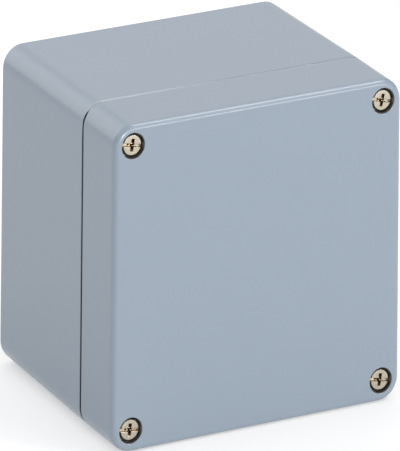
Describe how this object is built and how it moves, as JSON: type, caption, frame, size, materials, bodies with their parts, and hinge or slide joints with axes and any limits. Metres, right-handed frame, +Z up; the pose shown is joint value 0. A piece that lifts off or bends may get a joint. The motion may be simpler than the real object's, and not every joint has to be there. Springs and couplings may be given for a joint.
{
  "type": "die cast aluminium box",
  "caption": "Rectangular die cast aluminium enclosure with a deep screwed lid, captive lid screws, a gasket, wall fixing channels outside the seal and an earth terminal.",
  "frame": {"origin": "under the middle of the box's outside, on the surface that it stands on", "axes": "+Z up, +X to the right seen from the front, +Y from the lid back to the wall face"},
  "size_m": [0.122, 0.091, 0.12],
  "materials": {
    "painted_casting": "satin",
    "gasket": "matte",
    "stainless_steel": "satin",
    "nylon": "satin",
    "plated_steel": "satin"
  },
  "bodies": {
    "base": {"base": "painted_casting"},
    "lid": {"lid": "painted_casting", "lid_gasket": "gasket"},
    "ring_top_left": {"screw_ring_top_left": "nylon"},
    "screw_top_left": {"lid_screw_top_left": "stainless_steel"},
    "ring_top_right": {"screw_ring_top_right": "nylon"},
    "screw_top_right": {"lid_screw_top_right": "stainless_steel"},
    "ring_bottom_left": {"screw_ring_bottom_left": "nylon"},
    "screw_bottom_left": {"lid_screw_bottom_left": "stainless_steel"},
    "ring_bottom_right": {"screw_ring_bottom_right": "nylon"},
    "screw_bottom_right": {"lid_screw_bottom_right": "stainless_steel"},
    "earth_clamp": {"earth_clamp": "plated_steel", "earth_spring_washer": "plated_steel"},
    "earth_screw": {"earth_screw": "plated_steel"}
  },
  "joints": [
    {"name": "lid_lift", "type": "slide", "parent": "base", "child": "lid", "axis": [0, -1, 0], "range_m": [0, 0.1]},
    {"name": "screw_top_left_travel", "type": "slide", "parent": "lid", "child": "ring_top_left", "axis": [0, -1, 0], "range_m": [0, 0.008]},
    {"name": "screw_top_left_turn", "type": "hinge", "parent": "ring_top_left", "child": "screw_top_left", "pos_m": [-0.053, -0.0412, 0.112], "axis": [0, -1, 0], "range_deg": [0, 3600]},
    {"name": "screw_top_right_travel", "type": "slide", "parent": "lid", "child": "ring_top_right", "axis": [0, -1, 0], "range_m": [0, 0.008]},
    {"name": "screw_top_right_turn", "type": "hinge", "parent": "ring_top_right", "child": "screw_top_right", "pos_m": [0.053, -0.0412, 0.112], "axis": [0, -1, 0], "range_deg": [0, 3600]},
    {"name": "screw_bottom_left_travel", "type": "slide", "parent": "lid", "child": "ring_bottom_left", "axis": [0, -1, 0], "range_m": [0, 0.008]},
    {"name": "screw_bottom_left_turn", "type": "hinge", "parent": "ring_bottom_left", "child": "screw_bottom_left", "pos_m": [-0.053, -0.0412, 0.008], "axis": [0, -1, 0], "range_deg": [0, 3600]},
    {"name": "screw_bottom_right_travel", "type": "slide", "parent": "lid", "child": "ring_bottom_right", "axis": [0, -1, 0], "range_m": [0, 0.008]},
    {"name": "screw_bottom_right_turn", "type": "hinge", "parent": "ring_bottom_right", "child": "screw_bottom_right", "pos_m": [0.053, -0.0412, 0.008], "axis": [0, -1, 0], "range_deg": [0, 3600]},
    {"name": "earth_clamp_travel", "type": "slide", "parent": "base", "child": "earth_clamp", "axis": [0, -1, 0], "range_m": [0, 0.003]},
    {"name": "earth_screw_turn", "type": "hinge", "parent": "earth_clamp", "child": "earth_screw", "pos_m": [0, 0.0355, 0.016], "axis": [0, -1, 0], "range_deg": [0, 1542.86]}
  ],
  "couplings": [
    {"joint": "screw_top_left_turn", "follows": "screw_top_left_travel", "rad_per_m": 7854},
    {"joint": "screw_top_right_turn", "follows": "screw_top_right_travel", "rad_per_m": 7854},
    {"joint": "screw_bottom_left_turn", "follows": "screw_bottom_left_travel", "rad_per_m": 7854},
    {"joint": "screw_bottom_right_turn", "follows": "screw_bottom_right_travel", "rad_per_m": 7854},
    {"joint": "earth_screw_turn", "follows": "earth_clamp_travel", "rad_per_m": 8976}
  ]
}
